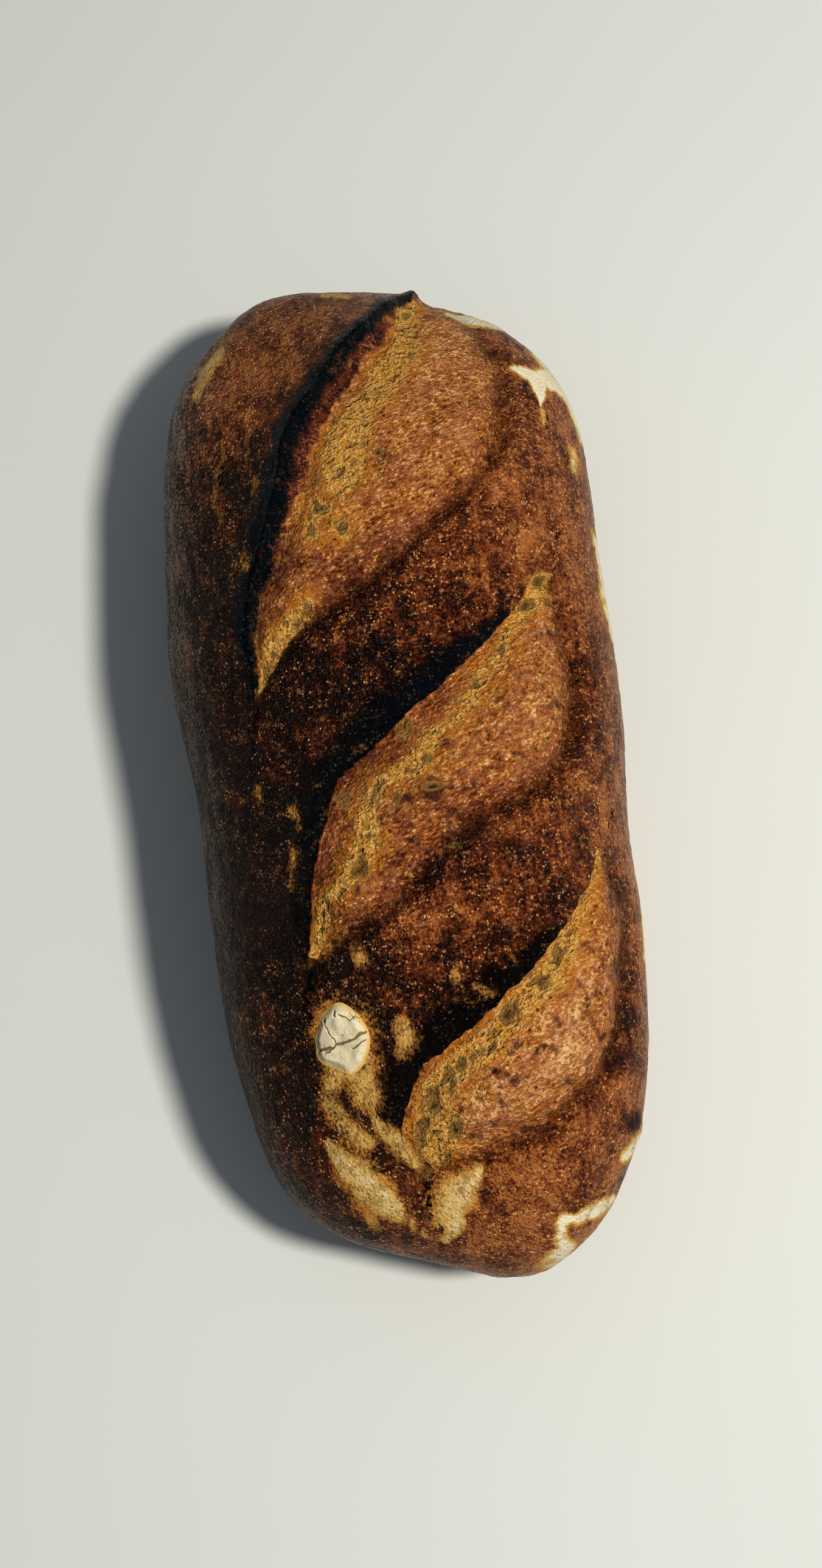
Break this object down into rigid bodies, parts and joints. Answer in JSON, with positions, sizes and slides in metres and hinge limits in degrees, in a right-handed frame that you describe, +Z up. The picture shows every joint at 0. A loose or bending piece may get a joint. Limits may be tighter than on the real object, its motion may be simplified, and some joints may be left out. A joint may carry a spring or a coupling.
{
  "type": "wholemeal loaf",
  "caption": "Long oval hearth-baked wholemeal loaf, domed with a flat base, with raised-lip slashes opened diagonally across its crust.",
  "frame": {"origin": "middle of the bounding box's bottom face, on the flat base that the loaf was baked on", "axes": "+Z up from the flat base to the slashed crust, +Y along the loaf to its fuller end, +X across it to the side that the slashes open towards"},
  "size_m": [0.1316, 0.2992, 0.0897],
  "materials": {
    "crust": "dark baked crust, dry, with a faint gloss on the darkest lips"
  },
  "bodies": {
    "root": {"loaf": "crust"}
  },
  "joints": []
}
